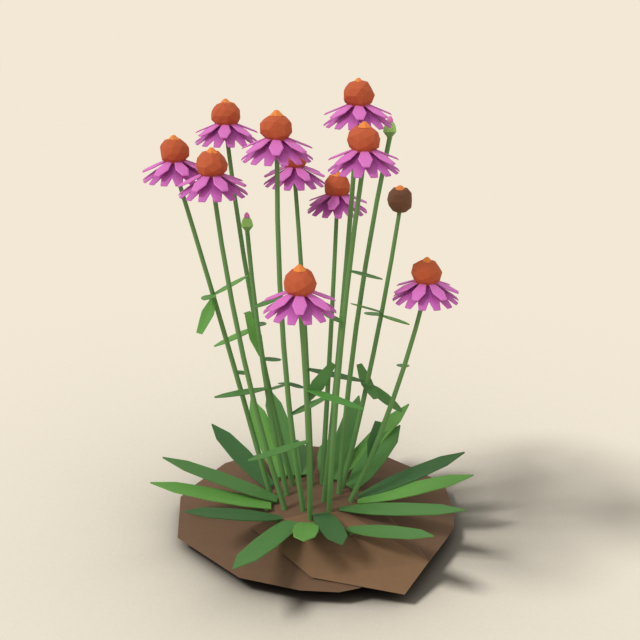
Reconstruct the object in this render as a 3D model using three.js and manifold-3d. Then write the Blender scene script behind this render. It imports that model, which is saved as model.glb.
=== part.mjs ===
// A clump of purple coneflower (Echinacea purpurea) growing in a mound of soil.
// Millimetres, +Z up. The origin is the centre of the mound's flat underside.

import * as THREE from 'three';
import { ConvexGeometry } from 'three/addons/geometries/ConvexGeometry.js';
import { mergeVertices } from 'three/addons/utils/BufferGeometryUtils.js';
import Module from 'manifold-3d';

const wasm = await Module();
wasm.setup();

// ---- Driving dimensions -------------------------------------------------------------------

const CLEARANCE = 0.3; // between two pieces that touch
const SOIL_SURFACE = 38; // height of the soil where the stems leave it
const ROOT_DEPTH = 24; // how deep stems and crowns stand in the soil

const STEM = { baseRadius: 4, topRadius: 2.9, sides: 6, steps: 6, upright: 4 };
const NECK = { height: 14, flare: 5.5 }; // from the bend under a head to its petal roots

const PETAL_THICKNESS = 2;
const UPPER_RING = { // waist: radius of the widest place; shares: of the width there
  count: 7, width: 20.5, rootRadius: 11.5, bendRadius: 14.5, waist: 29, tipRadius: 43, drop: 13.2,
  rootShare: 0.46, bendShare: 0.56, tipShare: 0.5,
};
const LOWER_RING = {
  count: 14, width: 17, rootRadius: 9, rootDrop: 2.3, waist: 27, tipRadius: 43.5, tipDrop: 25.3,
  tipShare: 0.56,
};
const RECEPTACLE = { topRadius: 14, bottomRadius: 8, top: -0.6, bottom: -5.7, sides: 14 };
const PETAL_SEAT = -0.8; // height of the upper petals' roots, just under the receptacle's top

const CONE = { radius: 20, halfHeight: 18, rise: 11, jitter: 0.07 };
const SEED_HEAD = { radius: 18.4, halfHeight: 18.7, rise: 17.3, jitter: 0.07 };
const CAP = { radius: 9.4, topRadius: 2.2, height: 6.6, sides: 6, sunk: 0.5 }; // sunk: share in the dome
const BUD_SIDES = 6;
const BUD_PROFILE = [ // radius and height, from inside the stem's end up to the mouth
  [3.2, -2], [3.2, 0], [8.1, 5.6], [8.1, 8.3], [6.5, 13.5], [4.3, 18],
];
const BUD_TIP = [[4, 0], [3.7, 3.6], [1.5, 7]]; // radius and height, from the mouth up

const STEM_LEAF = { width: 18, thickness: 1.2, crease: 0.6 };
const BASAL_LEAF = { width: 34, thickness: 1.6, crease: 1 };
const CROWN = { radius: 4.5, bridge: 3, sides: 6 };

// Blade outlines: pairs of the way along the blade and the share of its full width there.
const POINTED_LEAF = [[0, 0.4], [0.3, 0.95], [0.55, 1], [0.82, 0.7], [1, 0.2]];
const BLUNT_LEAF = [[0, 0.45], [0.42, 1], [0.7, 0.77], [1, 0.48]];
const STUB_LEAF = [[0, 0.95], [0.4, 0.9], [1, 0.46]];
const BROAD_LEAF = [[0, 0.5], [0.22, 0.9], [0.5, 1], [0.8, 0.8], [1, 0.05]];

// Facing broadside along Y: the direction of such a leaf's width.
const SIDEWAYS = [1, 0, 0];

// ---- Where everything grows ---------------------------------------------------------------

// Flowers: where the stem leaves the soil, where it bends upright under the head, its sideways
// bow, the head's turn in shares of a petal's step, the cone's shape seed, and the stem's leaves,
// each by how far up the stem it grows and how far it reaches from there.
const FLOWERS = [
  { foot: [-73, 14], neck: [-193, 58, 510], bow: 2, turn: 0.5, seed: 530, cap: 1, leaves: [
    { at: 0.64, reach: [49, 6, 26] },
    { at: 0.64, reach: [-7, -45, 8] },
    { at: 0.63, reach: [-17, -40, -37], outline: BLUNT_LEAF, across: SIDEWAYS },
    { at: 0.4, reach: [16, 15, -5] },
  ] },
  { foot: [-42, 46], neck: [-129, 114, 551], bow: -9, turn: 0, seed: 33, cap: 1, leaves: [
    { at: 0.47, reach: [-60, -20, -22] },
    { at: 0.51, reach: [-14, 35, -12] },
    { at: 0.29, reach: [23, -15, 12] },
  ] },
  { foot: [-51, -22], neck: [-135, -14, 505], bow: -10, turn: 0.5, seed: 293, cap: 1, leaves: [] },
  { foot: [-24, -28], neck: [-52, -42, 554], bow: -10, turn: 0, seed: 265, cap: 1, leaves: [
    { at: 0.63, reach: [-36, -4, -13] },
    { at: 0.39, reach: [-9, 60, -25] },
    { at: 0.39, reach: [22, 12, -10] },
    { at: 0.3, reach: [52, 5, 25] },
  ] },
  { foot: [-13, 45], neck: [-36, 123, 491], bow: 3, turn: 0.5, seed: 26, cap: 1, leaves: [
    { at: 0.39, reach: [83, -30, -7] },
  ] },
  { foot: [6, -3], neck: [48, 18, 587], bow: 2, turn: 0, seed: 796, cap: 0.75, leaves: [] },
  { foot: [13, -30], neck: [53, -47, 541], bow: -6, turn: 0, seed: 264, cap: 1, leaves: [
    { at: 0.72, reach: [43, 10, -14] },
    { at: 0.58, reach: [-27, 0, 12] },
  ] },
  { foot: [3, 50], neck: [25, 144, 447], bow: 1, turn: -0.25, seed: 3, cap: 1, leaves: [] },
  { foot: [-14, -49], neck: [-24, -124, 386], bow: 3, turn: 0, seed: 759, cap: 1, leaves: [
    { at: 0.64, reach: [73, -15, -21] },
    { at: 0.59, reach: [34, 10, 47], outline: BLUNT_LEAF, across: SIDEWAYS },
    { at: 0.4, reach: [-80, -5, -26] },
  ] },
  { foot: [45, -3], neck: [140, -6, 362], bow: 8, turn: 0.5, seed: 886, cap: 0.87, leaves: [
    { at: 0.66, reach: [3, 60, -24] },
    { at: 0.22, reach: [11, 15, 52], outline: BLUNT_LEAF, across: SIDEWAYS },
  ] },
];

const BUDS = [
  { foot: [-49, 17], neck: [-98, 42, 431], bow: -6, size: 1, leaves: [
    { at: 0.55, reach: [-20, 15, 60], outline: BLUNT_LEAF, across: SIDEWAYS },
    { at: 0.66, reach: [4, 40, -9] },
    { at: 0.535, reach: [25, 20, -8] },
    { at: 0.425, reach: [-71, -30, 0] },
  ] },
  { foot: [28, 19], neck: [92, 62, 553], bow: -9, size: 1.08, leaves: [] },
];

const SEED_STALK = { foot: [33, 36], neck: [112, 105, 442], bow: 5, seed: 138, cap: 1, leaves: [
  { at: 0.65, reach: [-44, -92, 48] },
  { at: 0.64, reach: [39, -20, -8] },
  { at: 0.64, reach: [-21, 40, -10] },
  { at: 0.4, reach: [-11, 30, 19], outline: STUB_LEAF, across: SIDEWAYS },
  { at: 0.39, reach: [11, -35, -7], outline: STUB_LEAF, across: SIDEWAYS },
  { at: 0.39, reach: [54, 10, -48], across: [1, 2, 1] },
] };

// Basal leaves, by where each blade starts and ends. Those of one row share a crown, which
// stands in its own pocket in the soil.
const CROWNS = [
  [{ root: [-62, -2, 42], tip: [-226, 5, 107] }, { root: [-70, -20, 42], tip: [-239, -28, 85] }],
  [{ root: [-54, -50, 42], tip: [-177, -120, 96] }, { root: [-37, -60, 42], tip: [-104, -226, 84] }],
  [{ root: [-18, -66, 44], tip: [-20, -192, 100] }],
  [{ root: [5, -38, 41], tip: [28, -166, 77] }],
  [{ root: [37, -75, 41], tip: [143, -167, 90] }],
  [{ root: [28, -25, 41], tip: [196, -88, 78] }],
  [{ root: [55, -6, 42], tip: [218, -14, 89] }, { root: [56, 2, 43], tip: [214, 42, 95] }],
  [{ root: [45, 30, 42], tip: [125, 120, 100] }, { root: [33, 75, 42], tip: [140, 142, 126] }],
  [{ root: [19, 55, 42], tip: [63, 180, 123] }, { root: [12, 59, 42], tip: [13, 159, 54] }],
  [{ root: [-29, 68, 42], tip: [-38, 181, 42] }, { root: [-36, 67, 42], tip: [-85, 201, 127] }],
  [{ root: [-58, 62, 42], tip: [-112, 186, 116] }],
  [{ root: [-74, 34, 42], tip: [-170, 130, 97] }],
];

// The soil: the corners of the mound's rim and of its crown, and of the clod that lies over its
// front, each a facet's corner. The underside draws in to a flat base.
const MOUND_RIM = [
  [-199, -62, 17], [-211, 46, 17], [-195, 79, 17], [-154, 149, 17], [-139, 159, 17],
  [-36, 211, 17], [2, 204, 17], [104, 176, 17], [147, 136, 17], [175, 106, 16], [194, 76, 16],
  [197, -1, 16], [190, -40, 19], [177, -69, 22], [144, -127, 22], [49, -177, 19], [24, -185, 19],
  [-26, -181, 19], [-105, -155, 19],
];
const MOUND_CROWN = [
  [-84, -10, 36], [-58, -45, 36], [70, -40, 35], [92, 10, 35], [66, 62, 36], [0, 80, 37],
  [-66, 70, 36],
];
const CLOD = [
  [-55, -49, 38.5], [-14, -34, 40], [36, -31, 40], [73, -48, 37], [112, -66, 30], [130, -81, 26],
  [143, -136, 30], [107, -187, 17], [-11, -163, 25.5], [-26, -143, 28], [-59, -107, 31.5],
  [-96, -60, 32], [-70, 20, 37], [-20, 60, 38], [40, 55, 38], [74, 10, 37],
];
const BASE_SHARE = 0.81; // the flat base's size as a share of the rim's
const CLOD_THICKNESS = 6;
const CLOD_UNDERCUT = 0.92;

// ---- Shapes -------------------------------------------------------------------------------

const UP = new THREE.Vector3(0, 0, 1);
const point = (xyz) => new THREE.Vector3(...xyz);

// A seeded random source, so that each cone keeps its own shape.
function seeded(seed) {
  let state = seed * 7919 + 17;
  return () => {
    state = (state * 16807) % 2147483647;
    return state / 2147483647;
  };
}

// A closed body through rings of points with equal counts, each turning anticlockwise as seen
// from the next one, with its first point in sight of all its others.
function loft(rings) {
  const sides = rings[0].length;
  const last = (rings.length - 1) * sides;
  const index = [];
  for (let start = 0; start < last; start += sides) {
    for (let side = 0; side < sides; side += 1) {
      const here = start + side;
      const next = start + ((side + 1) % sides);
      index.push(here, next, next + sides, here, next + sides, here + sides);
    }
  }
  for (let side = 1; side < sides - 1; side += 1) {
    index.push(0, side + 1, side, last, last + side, last + side + 1);
  }
  const geometry = new THREE.BufferGeometry().setFromPoints(rings.flat());
  geometry.setIndex(index);
  return geometry;
}

function ring(x, y, z, radius, sides) {
  return Array.from({ length: sides }, (_, side) => {
    const angle = (2 * Math.PI * side) / sides;
    return new THREE.Vector3(x + radius * Math.cos(angle), y + radius * Math.sin(angle), z);
  });
}

function prism([x, y], radius, sides, bottom, top) {
  return loft([ring(x, y, bottom, radius, sides), ring(x, y, top, radius, sides)]);
}

// A creased blade from root to tip. Its width lies level unless across is given.
function blade({ root, tip, width, outline, thickness, crease, across }) {
  const along = tip.clone().sub(root);
  const forward = along.clone().normalize();
  const side = across ? point(across) : new THREE.Vector3(-forward.y, forward.x, 0);
  const up = forward.clone().cross(side).normalize();
  if (up.z < 0) up.negate();
  side.crossVectors(up, forward);
  const rings = outline.map(([way, share]) => {
    const middle = root.clone().addScaledVector(along, way);
    const at = (sideways, lift) =>
      middle.clone().addScaledVector(side, sideways).addScaledVector(up, lift);
    const half = (share * width) / 2;
    const rib = (-share * crease) / 2;
    const edge = -rib;
    return [
      at(0, rib - thickness / 2), at(half, edge - thickness / 2), at(half, edge + thickness / 2),
      at(0, rib + thickness / 2), at(-half, edge + thickness / 2), at(-half, edge - thickness / 2),
    ];
  });
  return loft(rings);
}

function toSolid(geometry) {
  const bare = geometry.clone();
  bare.deleteAttribute('normal');
  bare.deleteAttribute('uv');
  const welded = mergeVertices(bare, 1e-4);
  return new wasm.Manifold(new wasm.Mesh({
    numProp: 3,
    vertProperties: new Float32Array(welded.attributes.position.array),
    triVerts: new Uint32Array(welded.index.array),
  }));
}

const fuse = (geometries) => geometries.map(toSolid).reduce((body, piece) => body.add(piece));

function toGeometry(solid) {
  const mesh = solid.getMesh();
  const geometry = new THREE.BufferGeometry();
  geometry.setAttribute('position', new THREE.BufferAttribute(mesh.vertProperties, 3));
  geometry.setIndex(new THREE.BufferAttribute(mesh.triVerts, 1));
  return geometry;
}

// ---- Stems and leaves ---------------------------------------------------------------------

// The stem's middle, part of the way from the soil to its neck.
function stemMiddle({ foot, neck, bow }, way) {
  const middle = point([...foot, SOIL_SURFACE]).lerp(point(neck), way);
  middle.x += bow * 4 * way * (1 - way);
  return middle;
}

function stemRadius(way) {
  return THREE.MathUtils.lerp(STEM.baseRadius, STEM.topRadius, way);
}

// A stem stands upright in the soil, bows to its neck and ends level at the given height.
function stem(plant, end, endRadius) {
  const [footX, footY] = plant.foot;
  const [neckX, neckY, neckZ] = plant.neck;
  const rings = [SOIL_SURFACE - ROOT_DEPTH, SOIL_SURFACE + STEM.upright].map((height) =>
    ring(footX, footY, height, STEM.baseRadius, STEM.sides));
  for (let step = 1; step <= STEM.steps; step += 1) {
    const way = step / STEM.steps;
    const middle = stemMiddle(plant, way);
    rings.push(ring(middle.x, middle.y, middle.z, stemRadius(way), STEM.sides));
  }
  if (end > neckZ) rings.push(ring(neckX, neckY, end, endRadius, STEM.sides));
  return loft(rings);
}

function stemLeaf(plant, { at, reach, outline = POINTED_LEAF, across }) {
  const root = stemMiddle(plant, at);
  const tip = root.clone().add(point(reach));
  return blade({ ...STEM_LEAF, root, tip, outline, across });
}

function leafyStem(plant, end, endRadius) {
  const leaves = plant.leaves.map((leaf) => stemLeaf(plant, leaf));
  return fuse([stem(plant, end, endRadius), ...leaves]);
}

// The crown is a short stub under each leaf, with a bridge between two. Grown by a clearance and
// carried up to a height above the surface, the same shape is its pocket in the soil.
function crown(leaves, grow = 0, height = null) {
  const bottom = SOIL_SURFACE - ROOT_DEPTH - grow;
  const radius = CROWN.radius + grow;
  const stubs = leaves.map(({ root }) =>
    prism(root, radius, CROWN.sides, bottom, height ?? root[2]));
  if (leaves.length === 1) return stubs;
  const [start, end] = leaves.map(({ root: [x, y] }) => new THREE.Vector3(x, y, bottom));
  const beside = end.clone().sub(start).normalize().applyAxisAngle(UP, Math.PI / 2);
  beside.multiplyScalar(CROWN.bridge + grow);
  const foot = [
    start.clone().sub(beside), end.clone().sub(beside),
    end.clone().add(beside), start.clone().add(beside),
  ];
  const head = foot.map((corner) => corner.clone().setZ(height ?? SOIL_SURFACE));
  return [...stubs, loft([foot, head])];
}

function crownOfLeaves(leaves) {
  const blades = leaves.map(({ root, tip }) =>
    blade({ ...BASAL_LEAF, root: point(root), tip: point(tip), outline: BROAD_LEAF }));
  return fuse([...crown(leaves), ...blades]);
}

// ---- Flower heads, all built round the middle of their petal roots ---------------------------

// One upper petal: level over the receptacle, then bent down and out.
function upperPetal() {
  const { width, rootRadius, bendRadius, waist, tipRadius, drop } = UPPER_RING;
  const fall = (radius) =>
    PETAL_SEAT - (drop * (radius - bendRadius)) / (tipRadius - bendRadius);
  const stations = [
    [rootRadius, PETAL_SEAT, UPPER_RING.rootShare],
    [bendRadius, PETAL_SEAT, UPPER_RING.bendShare],
    [waist, fall(waist), 1],
    [tipRadius, fall(tipRadius), UPPER_RING.tipShare],
  ];
  return loft(stations.map(([radius, high, share]) => {
    const half = (share * width) / 2;
    const low = high - PETAL_THICKNESS;
    return [
      new THREE.Vector3(-half, -radius, low), new THREE.Vector3(half, -radius, low),
      new THREE.Vector3(half, -radius, high), new THREE.Vector3(-half, -radius, high),
    ];
  }));
}

// The lower petals lie edge over edge and have grown together up to their free ends, so they are
// one skirt of flat facets: in each petal's step a seam runs out to a notch between two tips.
function lowerPetals() {
  const { count, width, rootRadius, rootDrop, waist, tipRadius, tipDrop, tipShare } = LOWER_RING;
  const halfStep = Math.PI / count;
  const slope = (tipDrop - rootDrop) / (tipRadius - rootRadius);
  const waistHalf = width / 2;
  const tipHalf = (tipShare * width) / 2;
  const taper = (waistHalf - tipHalf) / (tipRadius - waist);
  const notchReach = (waistHalf + taper * waist) / (Math.tan(halfStep) + taper);
  const seam = (reach) => [reach, -reach * Math.tan(halfStep)];
  const corners = [seam(rootRadius), seam(notchReach), [tipRadius, -tipHalf], [tipRadius, tipHalf]];
  const under = corners.length;
  const points = [];
  const index = [];
  for (let petal = 0; petal < count; petal += 1) {
    const angle = 2 * halfStep * petal - Math.PI / 2;
    for (const depth of [0, PETAL_THICKNESS]) {
      for (const [reach, sideways] of corners) {
        const x = reach * Math.cos(angle) - sideways * Math.sin(angle);
        const y = reach * Math.sin(angle) + sideways * Math.cos(angle);
        points.push(new THREE.Vector3(x, y, -rootDrop - slope * (reach - rootRadius) - depth));
      }
    }
    const first = petal * 2 * under;
    const next = ((petal + 1) % count) * 2 * under;
    const [root, notch, left, right] = [first, first + 1, first + 2, first + 3];
    const [nextRoot, nextNotch] = [next, next + 1];
    const face = [
      [root, notch, nextNotch], [root, nextNotch, nextRoot],
      [notch, left, right], [notch, right, nextNotch],
    ];
    face.forEach(([a, b, c]) => index.push(a, b, c, a + under, c + under, b + under));
    const edges = [[notch, left], [left, right], [right, nextNotch], [nextRoot, root]];
    edges.forEach(([a, b]) => index.push(a, a + under, b + under, a, b + under, b));
  }
  const geometry = new THREE.BufferGeometry().setFromPoints(points);
  geometry.setIndex(index);
  return geometry;
}

function receptacle() {
  const { topRadius, bottomRadius, top, bottom, sides } = RECEPTACLE;
  return loft([ring(0, 0, bottom, bottomRadius, sides), ring(0, 0, top, topRadius, sides)]);
}

function rays() {
  const upper = Array.from({ length: UPPER_RING.count }, (_, petal) =>
    upperPetal().rotateZ((2 * Math.PI * petal) / UPPER_RING.count));
  const lower = lowerPetals().rotateZ(Math.PI / LOWER_RING.count);
  return fuse([receptacle(), lower, ...upper]);
}

function cap(size, grow = 0) {
  const radius = CAP.radius * size + grow;
  const height = (CAP.height * radius) / CAP.radius;
  const topRadius = (CAP.topRadius * radius) / CAP.radius;
  const body = new THREE.CylinderGeometry(topRadius, radius, height, CAP.sides);
  body.rotateX(Math.PI / 2);
  return body.translate(0, 0, height / 2);
}

// How high above the petal roots the cap's flat underside lies.
function capSeat(cone, size) {
  return cone.rise + cone.halfHeight - CAP.sunk * CAP.height * size;
}

// A faceted dome with a flat underside and a seat for its cap, its corners moved in and out a
// little by the seeded source.
function coneBody(cone, seed, capSize) {
  const random = seeded(seed);
  const ball = new THREE.IcosahedronGeometry(1, 1);
  ball.deleteAttribute('normal');
  ball.deleteAttribute('uv');
  const rough = mergeVertices(ball, 1e-4);
  const corner = new THREE.Vector3();
  for (let i = 0; i < rough.attributes.position.count; i += 1) {
    corner.fromBufferAttribute(rough.attributes.position, i);
    corner.multiplyScalar(1 + cone.jitter * (2 * random() - 1));
    rough.attributes.position.setXYZ(i, corner.x, corner.y, corner.z);
  }
  rough.rotateZ(2 * Math.PI * random());
  rough.scale(cone.radius, cone.radius, cone.halfHeight);
  rough.translate(0, 0, cone.rise);
  const span = 4 * cone.radius;
  const above = new THREE.BoxGeometry(span, span, span).translate(0, 0, span / 2);
  const seat = cap(capSize, 2 * CLEARANCE).translate(0, 0, capSeat(cone, capSize) - CLEARANCE);
  return toSolid(rough).intersect(toSolid(above)).subtract(toSolid(seat));
}

// ---- Buds ---------------------------------------------------------------------------------

function budBody({ neck: [x, y, z], size }) {
  return loft(BUD_PROFILE.map(([radius, height]) =>
    ring(x, y, z + height * size, radius * size, BUD_SIDES)));
}

function budTip({ neck: [x, y, z], size }) {
  const [, mouthHeight] = BUD_PROFILE.at(-1);
  const bottom = z + mouthHeight * size + CLEARANCE;
  return loft(BUD_TIP.map(([radius, height]) =>
    ring(x, y, bottom + height * size, radius * size, BUD_SIDES)));
}

// ---- Soil ---------------------------------------------------------------------------------

function soilMound() {
  const base = MOUND_RIM.map(([x, y]) => [x * BASE_SHARE, y * BASE_SHARE, 0]);
  const mound = new ConvexGeometry([...base, ...MOUND_RIM, ...MOUND_CROWN].map(point));
  const clodUnder = CLOD.map(([x, y, z]) => [CLOD_UNDERCUT * x, CLOD_UNDERCUT * y, z - CLOD_THICKNESS]);
  const clod = new ConvexGeometry([...CLOD, ...clodUnder].map(point));
  const bottom = SOIL_SURFACE - ROOT_DEPTH - CLEARANCE;
  const top = SOIL_SURFACE + 2 * ROOT_DEPTH;
  const plants = [...FLOWERS, ...BUDS, SEED_STALK];
  const holes = [
    ...plants.map(({ foot }) =>
      prism(foot, STEM.baseRadius + CLEARANCE, STEM.sides, bottom, top)),
    ...CROWNS.flatMap((leaves) => crown(leaves, CLEARANCE, top)),
  ];
  return fuse([mound, clod]).subtract(fuse(holes));
}

// ---- Assembly -----------------------------------------------------------------------------

const ROUGHNESS = 0.85; // everything here is matt

const group = new THREE.Group();

function add(name, solid, color, [x, y, z] = [0, 0, 0], turn = 0) {
  const material = new THREE.MeshStandardMaterial({ color, roughness: ROUGHNESS, metalness: 0 });
  const mesh = new THREE.Mesh(toGeometry(solid), material);
  mesh.name = name;
  mesh.position.set(x, y, z);
  mesh.rotation.z = turn;
  group.add(mesh);
}

const COLOR = {
  soil: '#77584a',
  stem: '#58803f',
  leaf: '#528046',
  petal: '#d26fb6',
  cone: '#b5512f',
  cap: '#e98643',
  seedHead: '#5f4230',
  budTip: '#c86fa8',
};

add('soil_mound', soilMound(), COLOR.soil);

FLOWERS.forEach((flower, i) => {
  const label = String(i + 1).padStart(2, '0');
  const [x, y, z] = flower.neck;
  const head = [x, y, z + NECK.height];
  const stemEnd = head[2] + RECEPTACLE.bottom - CLEARANCE;
  const turn = (2 * Math.PI * flower.turn) / UPPER_RING.count;
  const capHeight = head[2] + capSeat(CONE, flower.cap);
  add(`flower_stem_${label}`, leafyStem(flower, stemEnd, NECK.flare), COLOR.stem);
  add(`rays_${label}`, rays(), COLOR.petal, head, turn);
  add(`cone_${label}`, coneBody(CONE, flower.seed, flower.cap), COLOR.cone, head);
  add(`cone_cap_${label}`, toSolid(cap(flower.cap)), COLOR.cap, [x, y, capHeight]);
});

BUDS.forEach((bud, i) => {
  const stemWithBud = leafyStem(bud, bud.neck[2], 0).add(toSolid(budBody(bud)));
  add(`bud_stem_${i + 1}`, stemWithBud, COLOR.stem);
  add(`bud_tip_${i + 1}`, toSolid(budTip(bud)), COLOR.budTip);
});

const [seedX, seedY, seedZ] = SEED_STALK.neck;
const seedBase = seedZ + CLEARANCE;
add('seed_stem', leafyStem(SEED_STALK, seedZ, 0), COLOR.stem);
const seedCapHeight = seedBase + capSeat(SEED_HEAD, SEED_STALK.cap);
add('seed_cone', coneBody(SEED_HEAD, SEED_STALK.seed, SEED_STALK.cap), COLOR.seedHead,
  [seedX, seedY, seedBase]);
add('seed_cap', toSolid(cap(SEED_STALK.cap)), COLOR.cap, [seedX, seedY, seedCapHeight]);

CROWNS.forEach((leaves, i) => {
  const label = String(i + 1).padStart(2, '0');
  add(`basal_leaves_${label}`, crownOfLeaves(leaves), COLOR.leaf);
});

export default group;
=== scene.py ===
# A clump of purple coneflower: ten flowers, two buds and a seed head on leafy stems, over a
# rosette of leaves in a mound of soil. Metres, in the frame's own axes.

import math

import bmesh
import bpy
import numpy as np
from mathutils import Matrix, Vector


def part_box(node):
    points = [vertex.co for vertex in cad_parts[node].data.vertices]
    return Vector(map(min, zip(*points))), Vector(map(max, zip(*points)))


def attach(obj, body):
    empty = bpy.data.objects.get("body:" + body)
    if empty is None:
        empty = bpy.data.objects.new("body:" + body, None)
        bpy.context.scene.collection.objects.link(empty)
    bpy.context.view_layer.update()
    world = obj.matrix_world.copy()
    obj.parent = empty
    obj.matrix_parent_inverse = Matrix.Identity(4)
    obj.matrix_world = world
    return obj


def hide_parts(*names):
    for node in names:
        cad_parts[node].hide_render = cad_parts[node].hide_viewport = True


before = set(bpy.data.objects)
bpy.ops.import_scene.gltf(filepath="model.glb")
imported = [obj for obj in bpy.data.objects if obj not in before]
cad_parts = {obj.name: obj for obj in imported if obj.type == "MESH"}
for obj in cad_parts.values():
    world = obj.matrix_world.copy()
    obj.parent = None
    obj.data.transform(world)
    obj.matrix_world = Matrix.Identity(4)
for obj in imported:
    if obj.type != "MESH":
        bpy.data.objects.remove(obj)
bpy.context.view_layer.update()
scene = bpy.context.scene

# ---- The studio ---------------------------------------------------------------------------
# A pale floor that runs out into a backdrop of the same cream, a big soft key lamp high on the
# left, even light from all round, and a camera on a tripod that looks down on the clump. The
# floor gets a stronger share of the key than the plant, which has a fill overhead instead. The
# floor's paint is darkened by painted shade where the clump shuts out the light round it.

CREAM = (0.888, 0.807, 0.665)
FLOOR_PAINT = (0.80, 0.727, 0.60)
FLOOR_RADIUS = 9.0
FLOOR_SIDES = 96
FLOOR_ROUGHNESS = 0.9
FADE_START = 1.6
FADE_END = 6.0
# Painted shade on the floor: its paint times its ambient occlusion, raised to a power
PAINTED_SHADE_REACH = 1.0
PAINTED_SHADE_DEPTH = 1.3
PAINTED_SHADE_SAMPLES = 16
CAMERA_PLACE = (0.0, -1.1126, 0.7234)
CAMERA_TILT = math.radians(70)
CAMERA_ANGLE = math.radians(40)
LIGHT_LEVEL = CREAM[0] / FLOOR_PAINT[0]
KEY_FROM = (-0.606, -0.283, 0.743)
FLOOR_KEY_FROM = (-0.640, -0.079, 0.764)
KEY_SPREAD = math.radians(15)
KEY_ON_PLANT = 0.33
KEY_ON_FLOOR = 0.71


def node(tree, kind, inputs=None, **settings):
    """Adds a node; inputs are values or the sockets that feed it, by name or number."""
    made = tree.nodes.new(kind)
    for name, value in settings.items():
        setattr(made, name, value)
    for name, value in (inputs or {}).items():
        if isinstance(value, bpy.types.NodeSocket):
            tree.links.new(value, made.inputs[name])
        else:
            made.inputs[name].default_value = value
    return made


def put(name, data):
    """Shows a mesh, lamp or camera as an object at the origin."""
    made = bpy.data.objects.new(name, data)
    scene.collection.objects.link(made)
    return made


def lamp(name, towards, share, spread, only):
    """A lamp far off, as bright on a level floor as its share of the light."""
    made = put(name, bpy.data.lights.new(name, "SUN"))
    made.rotation_mode = "QUATERNION"
    made.rotation_quaternion = Vector(towards).to_track_quat("Z", "Y")
    made.data.angle = spread
    made.data.energy = math.pi * LIGHT_LEVEL * share / Vector(towards).normalized().z
    made.light_linking.receiver_collection = only


scene.view_settings.view_transform = "Standard"

camera = put("camera", bpy.data.cameras.new("camera"))
camera.location = CAMERA_PLACE
camera.rotation_euler = (CAMERA_TILT, 0, 0)
camera.data.lens_unit = "FOV"
camera.data.angle = CAMERA_ANGLE
scene.camera = camera

disc = bmesh.new()
bmesh.ops.create_circle(disc, cap_ends=True, segments=FLOOR_SIDES, radius=FLOOR_RADIUS)
floor_mesh = bpy.data.meshes.new("floor")
disc.to_mesh(floor_mesh)
disc.free()
paint = bpy.data.materials.new("floor")
paint.use_nodes = True
tree = paint.node_tree
coat = tree.nodes["Principled BSDF"]
coat.inputs["Roughness"].default_value = FLOOR_ROUGHNESS
coat.inputs["Specular IOR Level"].default_value = 0.0
# Painted shade: the floor's colour is multiplied by its ambient occlusion, darkest near and under
# the clump
openness = node(tree, "ShaderNodeAmbientOcclusion", {"Distance": PAINTED_SHADE_REACH},
                samples=PAINTED_SHADE_SAMPLES)
painted_shade = node(tree, "ShaderNodeMath", {0: openness.outputs["AO"], 1: PAINTED_SHADE_DEPTH}, operation="POWER")
shade = node(tree, "ShaderNodeVectorMath", {0: FLOOR_PAINT, 1: painted_shade.outputs[0]},
             operation="MULTIPLY")
tree.links.new(shade.outputs[0], coat.inputs["Base Color"])
place = node(tree, "ShaderNodeTexCoord").outputs["Object"]
reach = node(tree, "ShaderNodeVectorMath", {0: place}, operation="LENGTH").outputs["Value"]
fade = node(tree, "ShaderNodeMapRange", {
    "Value": reach, "From Min": FADE_START, "From Max": FADE_END, "To Min": 1.0, "To Max": 0.0})
tree.links.new(fade.outputs[0], coat.inputs["Alpha"])
floor_mesh.materials.append(paint)
floor = put("floor", floor_mesh)

floor_only = bpy.data.collections.new("lit by the floor's key")
floor_only.objects.link(floor)
plant_only = bpy.data.collections.new("lit by the fill")
lamp("key", KEY_FROM, KEY_ON_PLANT, KEY_SPREAD, plant_only)
lamp("floor key", FLOOR_KEY_FROM, KEY_ON_FLOOR, KEY_SPREAD, floor_only)
lamp("fill", (0, 0, 1), KEY_ON_FLOOR - KEY_ON_PLANT, math.pi, plant_only)

scene.world = bpy.data.worlds.new("backdrop")
scene.world.use_nodes = True
sky = scene.world.node_tree
sky.nodes.clear()
light = node(sky, "ShaderNodeBackground",
             {"Color": (1, 1, 1, 1), "Strength": LIGHT_LEVEL * (1 - KEY_ON_FLOOR)})
backdrop = node(sky, "ShaderNodeBackground", {"Color": (*CREAM, 1)})
seen = node(sky, "ShaderNodeLightPath").outputs["Is Camera Ray"]
mixed = node(sky, "ShaderNodeMixShader",
             {0: seen, 1: light.outputs[0], 2: backdrop.outputs[0]})
node(sky, "ShaderNodeOutputWorld", {"Surface": mixed.outputs[0]})

# ---- The soil -----------------------------------------------------------------------------
# One low lump of dry brown earth, cut in flat facets, with an upper clod that overhangs its
# front and has a paler crust. It takes its shape from the CAD solid, and the stems and the leaf
# crowns stand in it.

EARTH = (0.165, 0.094, 0.053)
CRUST = (0.218, 0.122, 0.062)
EARTH_FINISH = {"roughness": 0.95, "scale": 90.0, "mottle": 0.22, "relief": 0.0002}
SHEEN = 0.25
GRAIN_DETAIL = 4.0
GRAIN_BITE = 0.6
WELD_GAP = 1e-6
FLAT_ANGLE = math.radians(1)
CLOD_EDGE = [  # the upper clod's outline, round its front
    (-0.055, -0.049), (-0.096, -0.060), (-0.059, -0.107), (-0.026, -0.143), (-0.011, -0.163),
    (0.107, -0.187), (0.143, -0.136), (0.130, -0.081), (0.112, -0.066), (0.073, -0.048),
]
CLOD_FOOT = 0.024  # lower faces belong to the lump under the clod
CLOD_SLOPE = 0.5
POCKET_FLOOR = 0.0137
LEVEL = 0.99
SLIGHT = 1e-3


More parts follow.
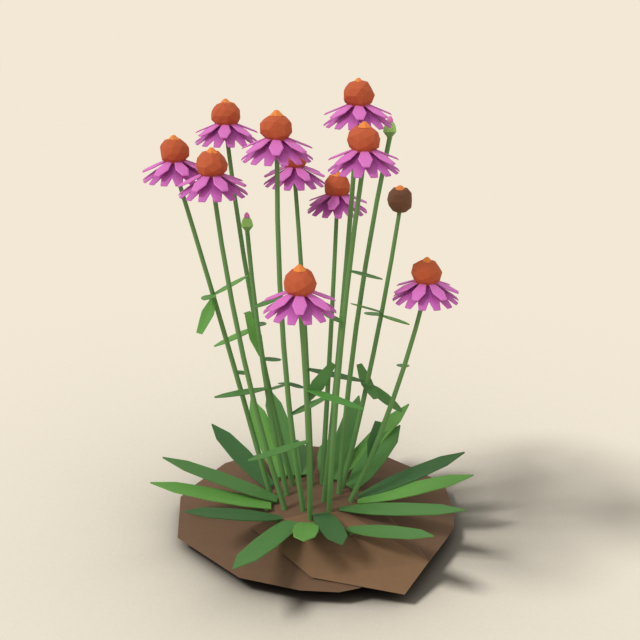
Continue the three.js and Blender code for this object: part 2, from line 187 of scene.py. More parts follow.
def grain_group():
    """Fine unevenness that every surface here has: mottled colour and a slight relief."""
    group = bpy.data.node_groups.new("fine grain", "ShaderNodeTree")
    for name, kind, value in (
        ("Color", "NodeSocketColor", (1, 1, 1, 1)),
        ("Scale", "NodeSocketFloat", 100.0),
        ("Mottle", "NodeSocketFloat", 0.1),
        ("Relief", "NodeSocketFloat", 0.0003),
    ):
        group.interface.new_socket(name, socket_type=kind).default_value = value
    group.interface.new_socket("Color", in_out="OUTPUT", socket_type="NodeSocketColor")
    group.interface.new_socket("Normal", in_out="OUTPUT", socket_type="NodeSocketVector")
    given = node(group, "NodeGroupInput").outputs
    place = node(group, "ShaderNodeTexCoord").outputs["Object"]
    fine = node(group, "ShaderNodeTexNoise", {
        "Vector": place, "Scale": given["Scale"], "Detail": GRAIN_DETAIL,
        "Roughness": GRAIN_BITE})
    swing = node(group, "ShaderNodeMath", {0: fine.outputs[0], 1: 0.5}, operation="SUBTRACT")
    depth = node(group, "ShaderNodeMath", {0: swing.outputs[0], 1: given["Mottle"]},
                 operation="MULTIPLY")
    gain = node(group, "ShaderNodeMath", {0: depth.outputs[0], 1: 1.0}, operation="ADD")
    shade = node(group, "ShaderNodeVectorMath", {0: given["Color"], 1: gain.outputs[0]},
                 operation="MULTIPLY")
    bump = node(group, "ShaderNodeBump", {"Height": fine.outputs[0], "Distance": given["Relief"]})
    node(group, "NodeGroupOutput", {0: shade.outputs[0], 1: bump.outputs[0]})
    return group


GRAIN = grain_group()


def finish_material(name, color, roughness, scale, mottle, relief):
    """A matt surface in one colour with the fine grain over it."""
    made = bpy.data.materials.new(name)
    made.use_nodes = True
    tree = made.node_tree
    coat = tree.nodes["Principled BSDF"]
    grain = node(tree, "ShaderNodeGroup", node_tree=GRAIN)
    grain.inputs["Color"].default_value = (*color, 1)
    grain.inputs["Scale"].default_value = scale
    grain.inputs["Mottle"].default_value = mottle
    grain.inputs["Relief"].default_value = relief
    tree.links.new(grain.outputs["Color"], coat.inputs["Base Color"])
    tree.links.new(grain.outputs["Normal"], coat.inputs["Normal"])
    coat.inputs["Roughness"].default_value = roughness
    coat.inputs["Specular IOR Level"].default_value = SHEEN
    return made


def settle(piece, slot, *stands_for):
    """Fixes a finished piece to the clump and hides the CAD solids it stands for."""
    plant_only.objects.link(piece)
    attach(piece, "root")
    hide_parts(*stands_for)


def welded(node_name):
    """The CAD solid's surface as an editable mesh of whole facets."""
    made = bmesh.new()
    made.from_mesh(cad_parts[node_name].data)
    bmesh.ops.remove_doubles(made, verts=made.verts, dist=WELD_GAP)
    bmesh.ops.dissolve_limit(made, angle_limit=FLAT_ANGLE, verts=made.verts, edges=made.edges)
    return made


def finished(name, shape, material):
    """Turns a shape into a shown piece of one material, with flat facets."""
    mesh = bpy.data.meshes.new(name)
    shape.to_mesh(mesh)
    shape.free()
    mesh.materials.append(material)
    for face in mesh.polygons:
        face.use_smooth = False
    return put(name, mesh)


def close_pockets(shape):
    """Lets the earth close round whatever stands in it: no hole is left at a root."""
    pockets = [f for f in shape.faces if abs(f.normal.z) < SLIGHT
               or (f.normal.z > LEVEL and abs(f.calc_center_median().z - POCKET_FLOOR) < SLIGHT)]
    bmesh.ops.delete(shape, geom=pockets, context="FACES")
    bmesh.ops.holes_fill(shape, edges=[e for e in shape.edges if e.is_boundary])
    bmesh.ops.triangle_fill(shape, edges=[e for e in shape.edges if e.is_boundary])
    bmesh.ops.recalc_face_normals(shape, faces=shape.faces)
    bmesh.ops.dissolve_limit(shape, angle_limit=FLAT_ANGLE, verts=shape.verts, edges=shape.edges)


def inside(place, outline):
    """Whether a place lies inside an outline, both seen from above."""
    hits = 0
    for (x0, y0), (x1, y1) in zip(outline, outline[1:] + outline[:1]):
        if (y0 > place.y) != (y1 > place.y):
            hits += place.x < x0 + (x1 - x0) * (place.y - y0) / (y1 - y0)
    return hits % 2 == 1


earth = welded("soil_mound")
close_pockets(earth)
on_clod = [f.normal.z > CLOD_SLOPE and f.calc_center_median().z > CLOD_FOOT
           and inside(f.calc_center_median(), CLOD_EDGE) for f in earth.faces]
soil = finished("soil", earth, finish_material("dry earth", EARTH, **EARTH_FINISH))
soil.data.materials.append(finish_material("dry crust", CRUST, **EARTH_FINISH))
for face, crusted in zip(soil.data.polygons, on_clod):
    face.material_index = int(crusted)
settle(soil, "soil", "soil_mound")

# ---- The stems ----------------------------------------------------------------------------
# Thirteen round green stems, thickest at the foot, each standing upright in the soil and bowing
# a little to its neck. A swept tube follows the middle of each CAD stem.

STEM_GREEN = (0.130, 0.272, 0.078)
STEM_FINISH = {"roughness": 0.6, "scale": 500.0, "mottle": 0.15, "relief": 0.0001}
STEM_SIDES = 10
THICKEST_STEM = 0.02  # wider rings and those with fewer corners are a leaf's
FEWEST_CORNERS = 4
SOIL_SURFACE = 0.038
FLOWERS = range(1, 11)
STEMS = [f"flower_stem_{i:02d}" for i in FLOWERS] + ["bud_stem_1", "bud_stem_2", "seed_stem"]
NECK_RING = {"flower": -2, "bud": -5, "seed": -1}  # which ring from the top is the neck


def stem_rings(node_name):
    """The rings of a CAD stem, from the foot up: middle and radius of each."""
    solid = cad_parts[node_name].data
    corners = np.unique([tuple(round(c, 6) for c in v.co) for v in solid.vertices], axis=0)
    rings = []
    for height in np.unique(corners[:, 2]):
        ring = corners[corners[:, 2] == height]
        if len(ring) < FEWEST_CORNERS:
            continue
        fit = np.c_[2 * ring[:, :2], np.ones(len(ring))]
        (x, y, rest), *_ = np.linalg.lstsq(fit, (ring[:, :2] ** 2).sum(1), rcond=None)
        radius = math.sqrt(rest + x * x + y * y)
        if radius < THICKEST_STEM:
            rings.append((Vector((x, y, height)), radius))
    return rings


def stem_tree():
    """Sweeps a tube along a line of points, as thick as the attribute girth says."""
    tree = bpy.data.node_groups.new("swept stem", "GeometryNodeTree")
    tree.interface.new_socket("Geometry", socket_type="NodeSocketGeometry")
    tree.interface.new_socket("Sides", socket_type="NodeSocketInt").default_value = STEM_SIDES
    tree.interface.new_socket("Material", socket_type="NodeSocketMaterial")
    tree.interface.new_socket("Geometry", in_out="OUTPUT", socket_type="NodeSocketGeometry")
    given = node(tree, "NodeGroupInput").outputs
    line = node(tree, "GeometryNodeMeshToCurve", {0: given["Geometry"]})
    girth = node(tree, "GeometryNodeInputNamedAttribute", {"Name": "girth"}, data_type="FLOAT")
    section = node(tree, "GeometryNodeCurvePrimitiveCircle",
                   {"Resolution": given["Sides"], "Radius": 1.0})
    tube = node(tree, "GeometryNodeCurveToMesh", {
        "Curve": line.outputs[0], "Profile Curve": section.outputs[0],
        "Scale": girth.outputs[0], "Fill Caps": True})
    rounded = node(tree, "GeometryNodeSetShadeSmooth", {"Geometry": tube.outputs[0]})
    solid = node(tree, "GeometryNodeRealizeInstances", {0: rounded.outputs[0]})
    done = node(tree, "GeometryNodeSetMaterial",
                {"Geometry": solid.outputs[0], "Material": given["Material"]})
    node(tree, "NodeGroupOutput", {0: done.outputs[0]})
    return tree


def grow(piece, tree, values):
    """Runs a node tree on a piece with its named values, and keeps the plain mesh it makes."""
    modifier = piece.modifiers.new(tree.name, "NODES")
    modifier.node_group = tree
    for socket in tree.interface.items_tree:
        if socket.in_out == "INPUT" and socket.name in values:
            modifier[socket.identifier] = values[socket.name]
    grown = piece.evaluated_get(bpy.context.evaluated_depsgraph_get())
    mesh = bpy.data.meshes.new_from_object(grown)
    piece.modifiers.clear()
    piece.data = mesh


STEM_TREE = stem_tree()
STEM_SKIN = finish_material("stem", STEM_GREEN, **STEM_FINISH)
stem_lines = {}
for stem_node in STEMS:
    rings = stem_rings(stem_node)
    neck = len(rings) + NECK_RING[stem_node.split("_")[0]]
    stem_lines[stem_node] = [middle for middle, _ in rings[:neck + 1]]
    if stem_node.startswith("bud"):
        rings = rings[:neck + 1]
    line = bpy.data.meshes.new(stem_node)
    links = [(i, i + 1) for i in range(len(rings) - 1)]
    line.from_pydata([middle for middle, _ in rings], links, [])
    girth = line.attributes.new("girth", "FLOAT", "POINT")
    girth.data.foreach_set("value", [radius for _, radius in rings])
    stalk = put("stalk_" + stem_node, line)
    grow(stalk, STEM_TREE, {"Material": STEM_SKIN})
    settle(stalk, "stem", stem_node)

# ---- The leaves ---------------------------------------------------------------------------
# Long stiff blades, folded a little along the midrib, with veins that run their whole length.
# The basal ones rise from the crowns in the soil, the small ones from the stems.

LEAF_GREENS = {
    "fresh": (0.130, 0.330, 0.060),
    "clear": (0.094, 0.300, 0.053),
    "mid": (0.083, 0.215, 0.050),
    "deep": (0.050, 0.140, 0.039),
}
PETIOLE = {"radius": 0.0036, "top": 0.0026, "sides": 6, "foot": 0.030, "set_in": 0.007}

# Outlines of a blade: how far along it, and its share of the full width there.
LONG = [(0, 0.5), (0.22, 0.9), (0.5, 1), (0.8, 0.8), (1, 0.05)]
TAPERED = [(0, 0.28), (0.14, 0.66), (0.3, 0.93), (0.5, 1), (0.8, 0.8), (1, 0.05)]
ROUNDED = [(0, 0.5), (0.07, 0.78), (0.22, 0.96), (0.5, 1), (0.8, 0.8), (1, 0.05)]
POINTED = [(0, 0.4), (0.3, 0.95), (0.55, 1), (0.82, 0.7), (1, 0.2)]
BLUNT = [(0, 0.45), (0.42, 1), (0.7, 0.77), (1, 0.48)]
STUB = [(0, 0.95), (0.4, 0.9), (1, 0.46)]

STUB_SEAT = Vector((0, -0.004, 0))
BASAL = {"width": 0.034, "thickness": 0.0016, "fold": 0.001}
SMALL = {"width": 0.018, "thickness": 0.0012, "fold": 0.0006}
BROADSIDE = (1, 0, 0)
RIM_SOFTNESS = 0.0003
LEAF_FINISH = {"roughness": 0.6, "scale": 300.0, "mottle": 0.15, "relief": 0.0001}
LEAF_VEINS = {"ribs": 5, "lift": 0.035, "relief": 0.00008}
BETWEEN_VEINS = (0.25, 0.02)
RIB_FINENESS = 6.0

# Basal leaves: the crown they stand in, green, where the blade starts and ends, and outline.
BASAL_LEAVES = [
    ("basal_leaves_01", "mid", (-0.062, -0.002, 0.042), (-0.226, 0.005, 0.107), LONG),
    ("basal_leaves_01", "fresh", (-0.07, -0.02, 0.042), (-0.239, -0.028, 0.085), LONG),
    ("basal_leaves_02", "deep", (-0.054, -0.05, 0.042), (-0.177, -0.12, 0.096), TAPERED),
    ("basal_leaves_02", "mid", (-0.037, -0.06, 0.042), (-0.104, -0.226, 0.084), ROUNDED),
    ("basal_leaves_03", "fresh", (-0.018, -0.066, 0.044), (-0.02, -0.192, 0.1), ROUNDED),
    ("basal_leaves_04", "deep", (0.001, -0.037, 0.041), (0.028, -0.166, 0.077), ROUNDED),
    ("basal_leaves_05", "mid", (0.037, -0.075, 0.041), (0.143, -0.167, 0.09), TAPERED),
    ("basal_leaves_06", "mid", (0.028, -0.025, 0.041), (0.196, -0.088, 0.078), TAPERED),
    ("basal_leaves_07", "fresh", (0.054, -0.009, 0.042), (0.218, -0.014, 0.089), TAPERED),
    ("basal_leaves_07", "deep", (0.056, 0.002, 0.043), (0.214, 0.042, 0.095), TAPERED),
    ("basal_leaves_08", "mid", (0.045, 0.03, 0.042), (0.125, 0.12, 0.1), LONG),
    ("basal_leaves_08", "fresh", (0.033, 0.075, 0.042), (0.14, 0.142, 0.126), LONG),
    ("basal_leaves_09", "mid", (0.019, 0.055, 0.042), (0.063, 0.18, 0.123), LONG),
    ("basal_leaves_09", "mid", (0.012, 0.059, 0.042), (0.013, 0.159, 0.054), LONG),
    ("basal_leaves_10", "mid", (-0.029, 0.068, 0.042), (-0.038, 0.181, 0.042), LONG),
    ("basal_leaves_10", "mid", (-0.036, 0.067, 0.042), (-0.085, 0.201, 0.127), LONG),
    ("basal_leaves_11", "fresh", (-0.058, 0.062, 0.042), (-0.112, 0.186, 0.116), LONG),
    ("basal_leaves_12", "deep", (-0.074, 0.034, 0.042), (-0.17, 0.13, 0.097), LONG),
]

# Basal leaves whose blade is turned: the direction of their width.
TURNED = {9: (0.05, 1, 0.05), 11: (-0.75, 0.66, 0.45)}

# Stem leaves: the stem, green, how far up it they grow, how far they reach, outline and, where
# it isn't level, the direction of their width.
STEM_LEAVES = [
    ("flower_stem_01", "fresh", 0.64, (0.049, 0.006, 0.026), POINTED, None),
    ("flower_stem_01", "fresh", 0.64, (-0.007, -0.045, 0.008), POINTED, None),
    ("flower_stem_01", "fresh", 0.63, (-0.017, -0.04, -0.037), BLUNT, BROADSIDE),
    ("flower_stem_01", "mid", 0.4, (0.016, 0.015, -0.005), POINTED, None),
    ("flower_stem_02", "fresh", 0.47, (-0.06, -0.02, -0.022), POINTED, None),
    ("flower_stem_02", "mid", 0.51, (-0.014, 0.035, -0.012), POINTED, None),
    ("flower_stem_02", "mid", 0.29, (0.023, -0.015, 0.012), POINTED, None),
    ("flower_stem_04", "mid", 0.63, (-0.036, -0.004, -0.013), POINTED, None),
    ("flower_stem_04", "deep", 0.39, (-0.009, 0.06, -0.025), POINTED, None),
    ("flower_stem_04", "deep", 0.39, (0.022, 0.012, -0.01), POINTED, None),
    ("flower_stem_04", "mid", 0.3, (0.052, 0.005, 0.025), POINTED, None),
    ("flower_stem_05", "deep", 0.39, (0.083, -0.03, -0.007), POINTED, None),
    ("flower_stem_07", "mid", 0.72, (0.043, 0.01, -0.014), POINTED, None),
    ("flower_stem_07", "mid", 0.58, (-0.027, 0.0, 0.012), POINTED, None),
    ("flower_stem_09", "clear", 0.64, (0.073, -0.015, -0.021), POINTED, None),
    ("flower_stem_09", "mid", 0.59, (0.034, 0.01, 0.047), BLUNT, BROADSIDE),
    ("flower_stem_09", "mid", 0.4, (-0.08, -0.005, -0.026), POINTED, None),
    ("flower_stem_10", "mid", 0.66, (0.003, 0.06, -0.021), POINTED, None),
    ("flower_stem_10", "deep", 0.22, (0.011, 0.015, 0.052), BLUNT, BROADSIDE),
    ("bud_stem_1", "fresh", 0.55, (-0.02, 0.015, 0.06), BLUNT, BROADSIDE),
    ("bud_stem_1", "mid", 0.66, (0.004, 0.04, -0.009), POINTED, None),
    ("bud_stem_1", "mid", 0.535, (0.025, 0.02, -0.008), POINTED, None),
    ("bud_stem_1", "mid", 0.425, (-0.071, -0.03, 0.0), POINTED, None),
    ("seed_stem", "fresh", 0.65, (-0.047, -0.092, 0.045), POINTED, None),
    ("seed_stem", "fresh", 0.64, (0.039, -0.02, -0.007), POINTED, (0.45, 0.89, -0.2)),
    ("seed_stem", "mid", 0.64, (-0.021, 0.04, -0.01), POINTED, None),
    ("seed_stem", "mid", 0.395, (-0.011, 0.03, 0.019), STUB, BROADSIDE),
    ("seed_stem", "mid", 0.395, (0.011, -0.035, -0.007), STUB, BROADSIDE),
    ("seed_stem", "mid", 0.39, (0.054, 0.01, -0.048), POINTED, (1, 2, 1)),
]


def on_stem(stem_node, way):
    """The middle of a stem, part of the way from the soil to its neck."""
    line = stem_lines[stem_node]
    height = SOIL_SURFACE + way * (line[-1].z - SOIL_SURFACE)
    above = next(i for i, middle in enumerate(line) if middle.z >= height)
    low, high = line[above - 1], line[above]
    return low.lerp(high, (height - low.z) / (high.z - low.z))


def soften(shape, width, segments=2, least_angle=math.radians(8)):
    """Rounds a shape's edges by a little."""
    sharp = [e for e in shape.edges
             if len(e.link_faces) == 2 and e.calc_face_angle() > least_angle]
    bmesh.ops.bevel(shape, geom=sharp, offset=width, segments=segments, affect="EDGES",
                    profile=0.5, clamp_overlap=True)


def loft(rings, ends, spread):
    """A closed shape through rings of points, each with its share across and along for veins."""
    shape = bmesh.new()
    layer = shape.loops.layers.uv.new("UVMap")
    corners = [[shape.verts.new(p) for p in ring] for ring in rings]
    sides = len(rings[0])
    faces = []
    for low, high in zip(corners, corners[1:]):
        for i in range(sides):
            j = (i + 1) % sides
            faces.append((low[i], low[j], high[j], high[i]))
    for ring in (corners[0], corners[-1]):
        faces += [[ring[i] for i in end] for end in ends]
    where = {v: at for ring, row in zip(corners, spread) for v, at in zip(ring, row)}
    for corner_list in faces:
        face = shape.faces.new(corner_list)
        for loop in face.loops:
            loop[layer].uv = where[loop.vert]
    bmesh.ops.recalc_face_normals(shape, faces=shape.faces)
    return shape


def blade(root, tip, outline, width, thickness, fold, across=None):
    """A leaf from root to tip, folded down along its rib."""
    along = tip - root
    forward = along.normalized()
    side = Vector(across) if across else Vector((-forward.y, forward.x, 0))
    up = forward.cross(side).normalized()
    if up.z < 0:
        up.negate()
    side = up.cross(forward)
    rings, spread = [], []
    for way, share in outline:
        half, rim, skin = share * width / 2, share * fold / 2, thickness / 2
        section = [(0, -rim - skin), (half, rim - skin), (half, rim + skin),
                   (0, -rim + skin), (-half, rim + skin), (-half, rim - skin)]
        middle = root + along * way
        rings.append([middle + side * x + up * z for x, z in section])
        spread.append([(0.5 + 0.5 * x / half, way) for x, _ in section])
    return loft(rings, [(0, 1, 2, 3), (0, 3, 4, 5)], spread)


def rib_group():
    """Fine lines along a petal or leaf, from one rim to the other: paler, and raised a little."""
    group = bpy.data.node_groups.new("long ribs", "ShaderNodeTree")
    for name, kind, value in (
        ("Color", "NodeSocketColor", (1, 1, 1, 1)),
        ("Normal", "NodeSocketVector", (0, 0, 0)),
        ("Ribs", "NodeSocketFloat", 5.0),
        ("Lift", "NodeSocketFloat", 0.1),
        ("Relief", "NodeSocketFloat", 0.0002),
    ):
        group.interface.new_socket(name, socket_type=kind).default_value = value
    group.interface.new_socket("Color", in_out="OUTPUT", socket_type="NodeSocketColor")
    group.interface.new_socket("Normal", in_out="OUTPUT", socket_type="NodeSocketVector")
    given = node(group, "NodeGroupInput").outputs
    uv = node(group, "ShaderNodeUVMap", uv_map="UVMap").outputs[0]
    across = node(group, "ShaderNodeSeparateXYZ", {0: uv}).outputs[0]
    turns = node(group, "ShaderNodeMath", {0: across, 1: given["Ribs"]}, operation="MULTIPLY")
    angle = node(group, "ShaderNodeMath", {0: turns.outputs[0], 1: math.pi}, operation="MULTIPLY")
    wave = node(group, "ShaderNodeMath", {0: angle.outputs[0]}, operation="SINE")
    size = node(group, "ShaderNodeMath", {0: wave.outputs[0]}, operation="ABSOLUTE")
    line = node(group, "ShaderNodeMath", {0: size.outputs[0], 1: RIB_FINENESS},
                operation="POWER")
    lift = node(group, "ShaderNodeMath", {0: line.outputs[0], 1: given["Lift"]},
                operation="MULTIPLY")
    gain = node(group, "ShaderNodeMath", {0: lift.outputs[0], 1: 1.0}, operation="ADD")
    shade = node(group, "ShaderNodeVectorMath", {0: given["Color"], 1: gain.outputs[0]},
                 operation="MULTIPLY")
    bump = node(group, "ShaderNodeBump", {
        "Height": line.outputs[0], "Distance": given["Relief"], "Normal": given["Normal"]})
    node(group, "NodeGroupOutput", {0: shade.outputs[0], 1: bump.outputs[0]})
    return group


RIBS = rib_group()


def ribbed(material, ribs, lift, relief):
    """Adds long ribs over a material's grain."""
    tree = material.node_tree
    coat = tree.nodes["Principled BSDF"]
    under = {name: coat.inputs[name].links[0].from_socket for name in ("Base Color", "Normal")}
    lines = node(tree, "ShaderNodeGroup", node_tree=RIBS)
    tree.links.new(under["Base Color"], lines.inputs["Color"])
    tree.links.new(under["Normal"], lines.inputs["Normal"])
    lines.inputs["Ribs"].default_value = ribs
    lines.inputs["Lift"].default_value = lift
    lines.inputs["Relief"].default_value = relief
    tree.links.new(lines.outputs["Color"], coat.inputs["Base Color"])
    tree.links.new(lines.outputs["Normal"], coat.inputs["Normal"])
    return material


leaf_skins = {
    name: ribbed(finish_material("leaf " + name, color, **LEAF_FINISH), **LEAF_VEINS)
    for name, color in LEAF_GREENS.items()
}


def level_ring(middle, radius, sides):
    """Points set evenly round a level circle."""
    angles = [math.tau * i / sides for i in range(sides)]
    return [middle + Vector((radius * math.cos(a), radius * math.sin(a), 0)) for a in angles]


def add_petiole(shape, root, tip):
    """Grows the short stalk that carries a basal leaf out of the earth, under its root."""
    foot = root.lerp(tip, PETIOLE["set_in"] / (tip - root).length)
    sides = PETIOLE["sides"]
    rings = [level_ring(Vector((foot.x, foot.y, height)), radius, sides) for height, radius in (
        (PETIOLE["foot"], PETIOLE["radius"]), (foot.z, PETIOLE["top"]))]
    stalk = loft(rings, [range(sides)], [[BETWEEN_VEINS] * sides] * len(rings))
    mesh = bpy.data.meshes.new("petiole")
    stalk.to_mesh(mesh)
    stalk.free()
    shape.from_mesh(mesh)
    bpy.data.meshes.remove(mesh)


for number, (crown, green, root, tip, outline) in enumerate(BASAL_LEAVES, 1):
    leaf = blade(Vector(root), Vector(tip), outline, across=TURNED.get(number), **BASAL)
    soften(leaf, RIM_SOFTNESS)
    add_petiole(leaf, Vector(root), Vector(tip))
    piece = finished(f"basal_leaf_{number:02d}", leaf, leaf_skins[green])
    settle(piece, "leaf", crown)
for number, (stem_node, green, way, reach, outline, across) in enumerate(STEM_LEAVES, 1):
    root = on_stem(stem_node, way)
    if outline is STUB:
        root += STUB_SEAT
    leaf = blade(root, root + Vector(reach), outline, across=across, **SMALL)
    soften(leaf, RIM_SOFTNESS)
    piece = finished(f"stem_leaf_{number:02d}", leaf, leaf_skins[green])
    settle(piece, "leaf", stem_node)

# ---- The petals ---------------------------------------------------------------------------
# Each head carries two rings of stiff pink rays with bevelled rims: seven above that stand out
# over the cone's foot, and fourteen below that hang and cross their neighbours' edges. The lower
# ring's pink is darker, as painted shade under the upper ring.

PETAL_PINK = (0.665, 0.168, 0.508)
# Painted shade: the lower ring's darker pink stands for the shade of the upper ring over it
SHADED_LOWER_PINK = (0.55, 0.125, 0.43)
# Painted shade towards the lower petals' roots, under the upper ring
ROOT_SHADE_PURPLE = (0.33, 0.058, 0.27)
PETAL_THICKNESS = 0.002
PETAL_BEVEL = 0.0014
PETAL_BEVEL_DROP = 0.0009
PETAL_CROWN = 0.0002
PETAL_UNDERCUT = 0.4
PETAL_FINISH = {"roughness": 0.55, "scale": 400.0, "mottle": 0.10, "relief": 0.0001}
PETAL_RIBS = {"ribs": 4, "lift": 0.04, "relief": 0.0001}
ROOT_SHADE_REACH = {"start": 0.25, "end": 0.95}
MIX_FIRST, MIX_SECOND, MIX_RESULT = 6, 7, 2  # a Mix node's sockets for colours
CAD_TIP_DROP = 0.0140  # how far the tips of the CAD petals hang below the cone's foot
CAD_TIP_REACH = 0.04
HAIR = 1e-5
UPPER_COUNT = 7
LOWER_COUNT = 14
UPPER_STATIONS = [  # distance out from the head's middle, height, half width
    (0.0115, -0.0008, 0.0042), (0.0145, -0.0008, 0.0050), (0.029, -0.0070, 0.0088),
    (0.043, -0.0128, 0.0045),
]
LOWER_STATIONS = [
    (0.009, -0.0023, 0.0035), (0.027, -0.0143, 0.0085), (0.0435, -0.0253, 0.00476),
]


def petal(name, stations):
    """One petal that points to the front: a plate with a bevelled rim and a slight crown."""
    rings, spread = [], []
    start = stations[0][0]
    (next_out, next_high, _), (end, end_high, _) = stations[-2:]
    fall = (end_high - next_high) / (end - next_out)
    for out, high, half in stations:
        inset = PETAL_BEVEL if out == end else 0.0
        top = half - PETAL_BEVEL
        low = half - PETAL_UNDERCUT * PETAL_BEVEL
        rim = high - PETAL_BEVEL_DROP
        raised = high - fall * inset
        section = [
            (-half, out, rim), (-top, out - inset, raised), (0, out - inset, raised + PETAL_CROWN),
            (top, out - inset, raised), (half, out, rim), (low, out, high - PETAL_THICKNESS),
            (-low, out, high - PETAL_THICKNESS),
        ]
        rings.append([Vector((x, -y, z)) for x, y, z in section])
        spread.append([(0.5 + 0.5 * x / half, (y - start) / (end - start))
                       for x, y, _ in section])
    shape = loft(rings, [(0, 1, 2, 3, 4), (0, 4, 5, 6)], spread)
    mesh = bpy.data.meshes.new(name)
    shape.to_mesh(mesh)
    shape.free()
    return mesh


def ring_tree():
    """Sets copies of one petal evenly round an upright axis through a head's middle."""
    tree = bpy.data.node_groups.new("petal ring", "GeometryNodeTree")
    tree.interface.new_socket("Geometry", socket_type="NodeSocketGeometry")
    tree.interface.new_socket("Count", socket_type="NodeSocketInt").default_value = UPPER_COUNT
    tree.interface.new_socket("Turn", socket_type="NodeSocketFloat")
    tree.interface.new_socket("Middle", socket_type="NodeSocketVector")
    tree.interface.new_socket("Material", socket_type="NodeSocketMaterial")
    tree.interface.new_socket("Geometry", in_out="OUTPUT", socket_type="NodeSocketGeometry")
    given = node(tree, "NodeGroupInput").outputs
    points = node(tree, "GeometryNodePoints",
                  {"Count": given["Count"], "Position": given["Middle"]})
    number = node(tree, "GeometryNodeInputIndex").outputs[0]
    step = node(tree, "ShaderNodeMath", {0: math.tau, 1: given["Count"]}, operation="DIVIDE")
    angle = node(tree, "ShaderNodeMath",
                 {0: number, 1: step.outputs[0], 2: given["Turn"]}, operation="MULTIPLY_ADD")
    turned = node(tree, "ShaderNodeCombineXYZ", {"Z": angle.outputs[0]})
    placed = node(tree, "GeometryNodeInstanceOnPoints", {
        "Points": points.outputs[0], "Instance": given["Geometry"], "Rotation": turned.outputs[0]})
    solid = node(tree, "GeometryNodeRealizeInstances", {0: placed.outputs[0]})
    done = node(tree, "GeometryNodeSetMaterial",
                {"Geometry": solid.outputs[0], "Material": given["Material"]})
    node(tree, "NodeGroupOutput", {0: done.outputs[0]})
    return tree


def head_turn(rays_node, middle):
    """How far the head is turned, from the tips of its upper petals."""
    total = 0
    tip_height = middle.z - CAD_TIP_DROP
    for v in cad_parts[rays_node].data.vertices:
        x, y, z = v.co - Vector((middle.x, middle.y, 0))
        if abs(z - tip_height) < HAIR and math.hypot(x, y) > CAD_TIP_REACH:
            total += (complex(-y, x) / abs(complex(x, y))) ** UPPER_COUNT
    return math.atan2(total.imag, total.real) / UPPER_COUNT


def paint_root_shade(material, deep, start, end):
    """Paints shade on a petal, darker towards its root, where the ring above covers it."""
    tree = material.node_tree
    grain = next(n for n in tree.nodes if n.type == "GROUP" and n.node_tree == GRAIN)
    uv = node(tree, "ShaderNodeUVMap", uv_map="UVMap").outputs[0]
    along = node(tree, "ShaderNodeSeparateXYZ", {0: uv}).outputs[1]
    reach = node(tree, "ShaderNodeMapRange", {
        "Value": along, "From Min": start, "From Max": end}, interpolation_type="SMOOTHSTEP")
    tint = node(tree, "ShaderNodeMix", {
        "Factor": reach.outputs[0], MIX_FIRST: (*deep, 1),
        MIX_SECOND: grain.inputs["Color"].default_value}, data_type="RGBA")
    tree.links.new(tint.outputs[MIX_RESULT], grain.inputs["Color"])
    return material


RING_TREE = ring_tree()
PETAL_SKIN = ribbed(finish_material("petal", PETAL_PINK, **PETAL_FINISH), **PETAL_RIBS)
SHADED_SKIN = ribbed(finish_material("lower petal", SHADED_LOWER_PINK, **PETAL_FINISH), **PETAL_RIBS)
paint_root_shade(SHADED_SKIN, ROOT_SHADE_PURPLE, **ROOT_SHADE_REACH)
upper_petal = petal("upper petal", UPPER_STATIONS)
lower_petal = petal("lower petal", LOWER_STATIONS)
heads = []
for number in FLOWERS:
    low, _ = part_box(f"cone_{number:02d}")
    line = stem_lines[f"flower_stem_{number:02d}"]
    middle = Vector((line[-1].x, line[-1].y, low.z))
    heads.append(middle)
    turn = head_turn(f"rays_{number:02d}", middle)
    for ring_name, mesh, count, offset, skin in (
        ("upper", upper_petal, UPPER_COUNT, 0.0, PETAL_SKIN),
        ("lower", lower_petal, LOWER_COUNT, math.pi / LOWER_COUNT, SHADED_SKIN),
    ):
        ring = put(f"{ring_name}_petals_{number:02d}", mesh)
        grow(ring, RING_TREE, {
            "Count": count, "Turn": turn + offset, "Middle": tuple(middle), "Material": skin})
        settle(ring, "petal", f"rays_{number:02d}")

# ---- The cones ----------------------------------------------------------------------------
# A rust-brown dome of packed florets on each head, cut in uneven facets. It carries on below
# the petals' roots as a bowl, and has a small orange point of unopened florets on top.

CONE_RUST = (0.510, 0.101, 0.034)
SEED_BROWN = (0.166, 0.073, 0.036)
CAP_ORANGE = (0.80, 0.24, 0.045)
FLORET_FINISH = {"roughness": 0.75, "scale": 600.0, "mottle": 0.25, "relief": 0.0002}
SEED_FINISH = {"roughness": 0.8, "scale": 600.0, "mottle": 0.3, "relief": 0.0002}
CAP_FINISH = {"roughness": 0.7, "scale": 800.0, "mottle": 0.2, "relief": 0.0001}
CONE_SOFTNESS = 0.0003
CAP_SOFTNESS = 0.0003
SEED_CAP_SHARE = 0.78
BOWL = [(0.86, 0.0030), (0.52, 0.0056)]  # share of the dome's foot, depth below it

CONE_SKIN = finish_material("florets", CONE_RUST, **FLORET_FINISH)
SEED_SKIN = finish_material("seeds", SEED_BROWN, **SEED_FINISH)
CAP_SKIN = finish_material("young florets", CAP_ORANGE, **CAP_FINISH)


def add_bowl(shape, middle):
    """Carries a dome on below its flat foot, as a bowl."""
    foot = [f for f in shape.faces
            if f.normal.z < -LEVEL and abs(f.calc_center_median().z - middle.z) < HAIR]
    rim = list({v for f in foot for v in f.verts})
    places = {v: v.co.copy() for v in rim}
    bmesh.ops.delete(shape, geom=foot, context="FACES_ONLY")
    edges = [e for e in shape.edges if e.is_boundary]
    for share, depth in BOWL:
        made = bmesh.ops.extrude_edge_only(shape, edges=edges)["geom"]
        edges = [g for g in made if isinstance(g, bmesh.types.BMEdge) and g.is_boundary]
        for v in {v for e in edges for v in e.verts}:
            near = min(places.values(), key=lambda p: (p.xy - v.co.xy).length)
            v.co = middle.lerp(near, share) - Vector((0, 0, depth))
    bmesh.ops.holes_fill(shape, edges=edges)
    bmesh.ops.recalc_face_normals(shape, faces=shape.faces)


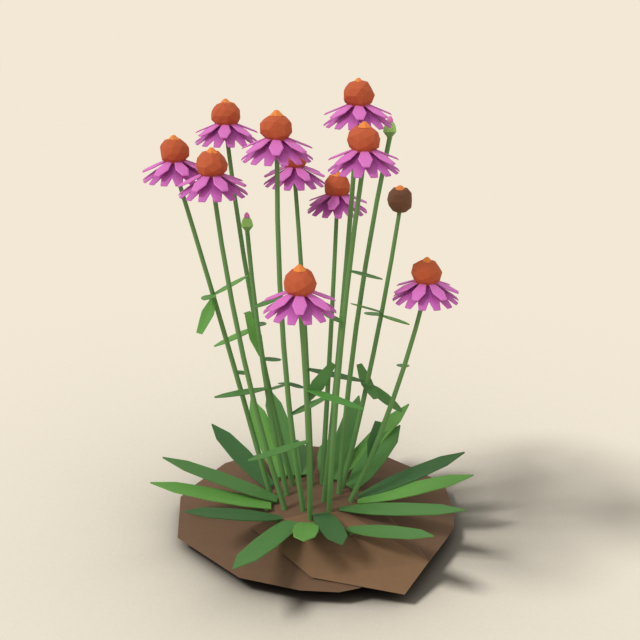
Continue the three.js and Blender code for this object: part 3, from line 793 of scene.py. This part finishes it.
for number, middle in enumerate(heads, 1):
    dome = welded(f"cone_{number:02d}")
    add_bowl(dome, middle)
    soften(dome, CONE_SOFTNESS)
    piece = finished(f"florets_{number:02d}", dome, CONE_SKIN)
    settle(piece, "cone", f"cone_{number:02d}")
seed_head = welded("seed_cone")
soften(seed_head, CONE_SOFTNESS)
settle(finished("seeds", seed_head, SEED_SKIN), "seed_head", "seed_cone")
for cap_node in [f"cone_cap_{number:02d}" for number in FLOWERS] + ["seed_cap"]:
    point = welded(cap_node)
    if cap_node == "seed_cap":
        seat = min(v.co.z for v in point.verts)
        for v in point.verts:
            v.co.z = seat + SEED_CAP_SHARE * (v.co.z - seat)
    soften(point, CAP_SOFTNESS)
    settle(finished("point_" + cap_node, point, CAP_SKIN), "cap", cap_node)

# ---- The buds -----------------------------------------------------------------------------
# A green cup of six folded bracts that stands on the stem, and the pink ends of petals that
# have yet to open. The cup is paler above its waist as painted light, and darker below as
# painted shade.

# Painted light on the cup's upper bracts, painted shade on its foot
LIT_BRACT_GREEN = (0.35, 0.63, 0.155)
SHADED_FOOT_GREEN = (0.165, 0.325, 0.085)
TIP_PINK = (0.72, 0.21, 0.49)
BRACT_FINISH = {"roughness": 0.6, "scale": 500.0, "mottle": 0.1, "relief": 0.0001}
TIP_FINISH = {"roughness": 0.55, "scale": 400.0, "mottle": 0.1, "relief": 0.0001}
BUD_SIZES = {1: 1.0, 2: 1.08}
BUD_PROFILE = [  # radius, height over the top of the stem
    (0.0032, -0.002), (0.0032, 0), (0.0083, 0.0068), (0.0081, 0.0084), (0.0070, 0.0137),
    (0.0049, 0.018),
]
BUD_WAIST = 0.0072
BUD_SIDES = 6
BUD_SOFTNESS = 0.0003

SHADED_FOOT_SKIN = finish_material("bud foot", SHADED_FOOT_GREEN, **BRACT_FINISH)
LIT_BRACT_SKIN = finish_material("bracts", LIT_BRACT_GREEN, **BRACT_FINISH)
TIP_SKIN = finish_material("unopened petals", TIP_PINK, **TIP_FINISH)
for number, size in BUD_SIZES.items():
    stem_node = f"bud_stem_{number}"
    foot = stem_lines[stem_node][-1]
    rings = [level_ring(foot + Vector((0, 0, size * height)), size * radius, BUD_SIDES)
             for radius, height in BUD_PROFILE]
    cup = loft(rings, [range(BUD_SIDES)], [[(0, 0)] * BUD_SIDES] * len(rings))
    soften(cup, BUD_SOFTNESS)
    piece = finished(f"bud_cup_{number}", cup, SHADED_FOOT_SKIN)
    piece.data.materials.append(LIT_BRACT_SKIN)
    # Faces above the waist get the painted light, those below it the painted shade
    for face in piece.data.polygons:
        face.material_index = int(face.center.z > foot.z + size * BUD_WAIST)
    settle(piece, "stem", stem_node)
    tip = welded(f"bud_tip_{number}")
    soften(tip, BUD_SOFTNESS)
    settle(finished(f"bud_point_{number}", tip, TIP_SKIN), "bud_tip", f"bud_tip_{number}")
